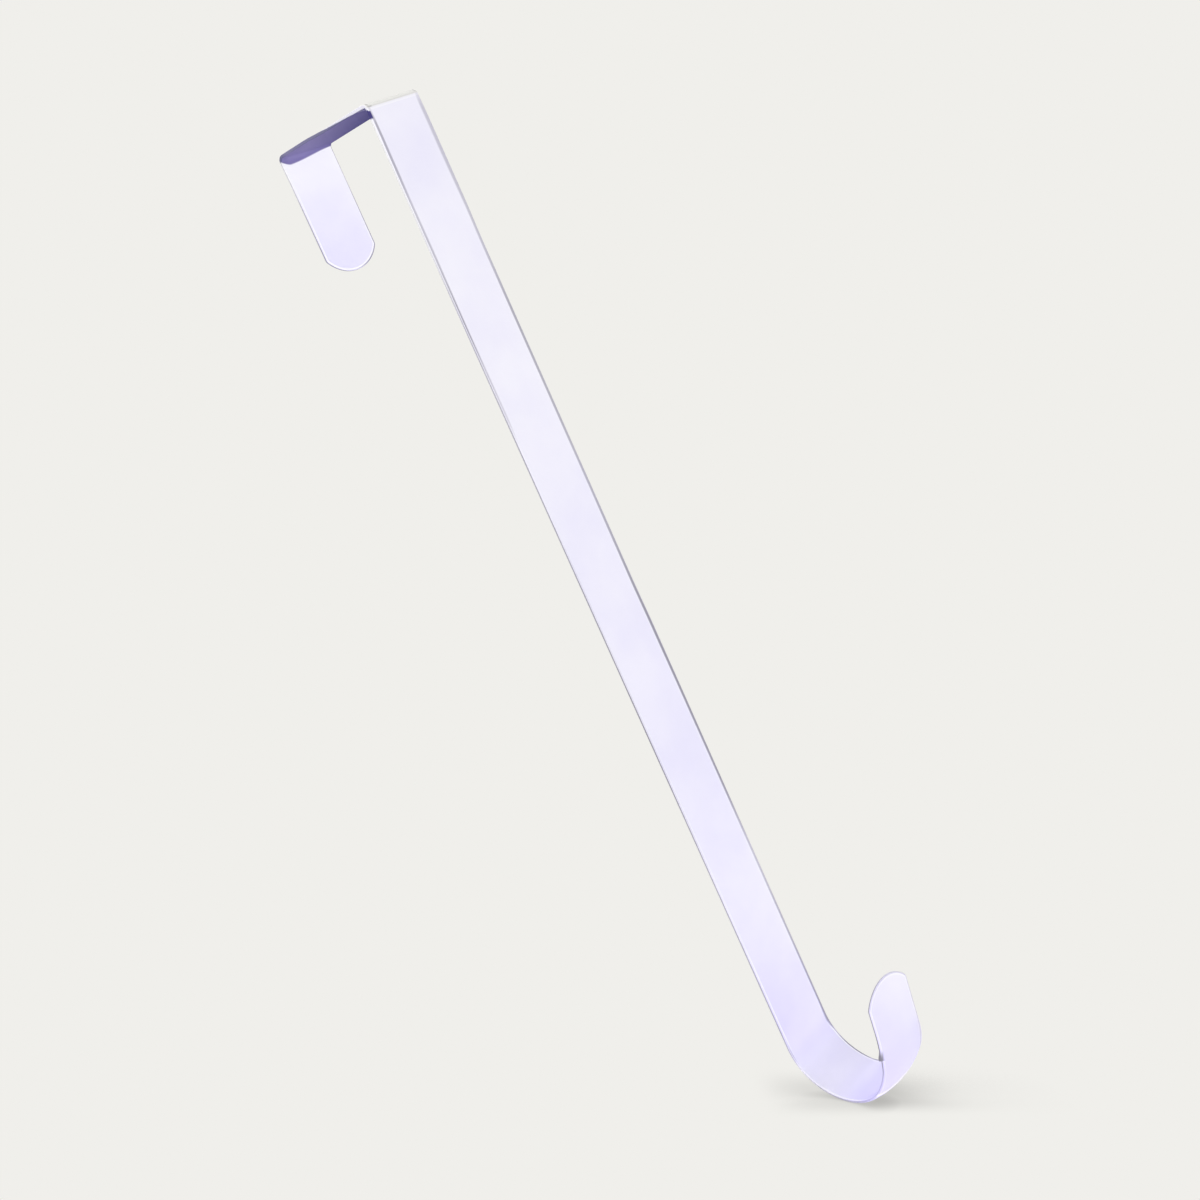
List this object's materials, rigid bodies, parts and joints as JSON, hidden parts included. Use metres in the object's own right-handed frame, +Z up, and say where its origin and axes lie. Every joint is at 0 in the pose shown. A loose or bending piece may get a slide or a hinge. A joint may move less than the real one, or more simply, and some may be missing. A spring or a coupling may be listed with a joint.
{
  "type": "wreath hanger",
  "caption": "Over-the-door hanger: a flat enamelled metal strip folded into a square saddle with a short tab and a long stem that ends in a rounded J hook.",
  "frame": {"origin": "middle of the saddle's underside, where it sits on the door's top edge", "axes": "+Z up; -Y out of the door's outer face, towards the stem and hook; +X across the strip's width"},
  "size_m": [0.0234, 0.0991, 0.3808],
  "materials": {
    "enamel": "smooth semi-gloss pale lavender enamel over sheet steel"
  },
  "bodies": {
    "root": {"hanger_strip": "enamel"}
  },
  "joints": []
}
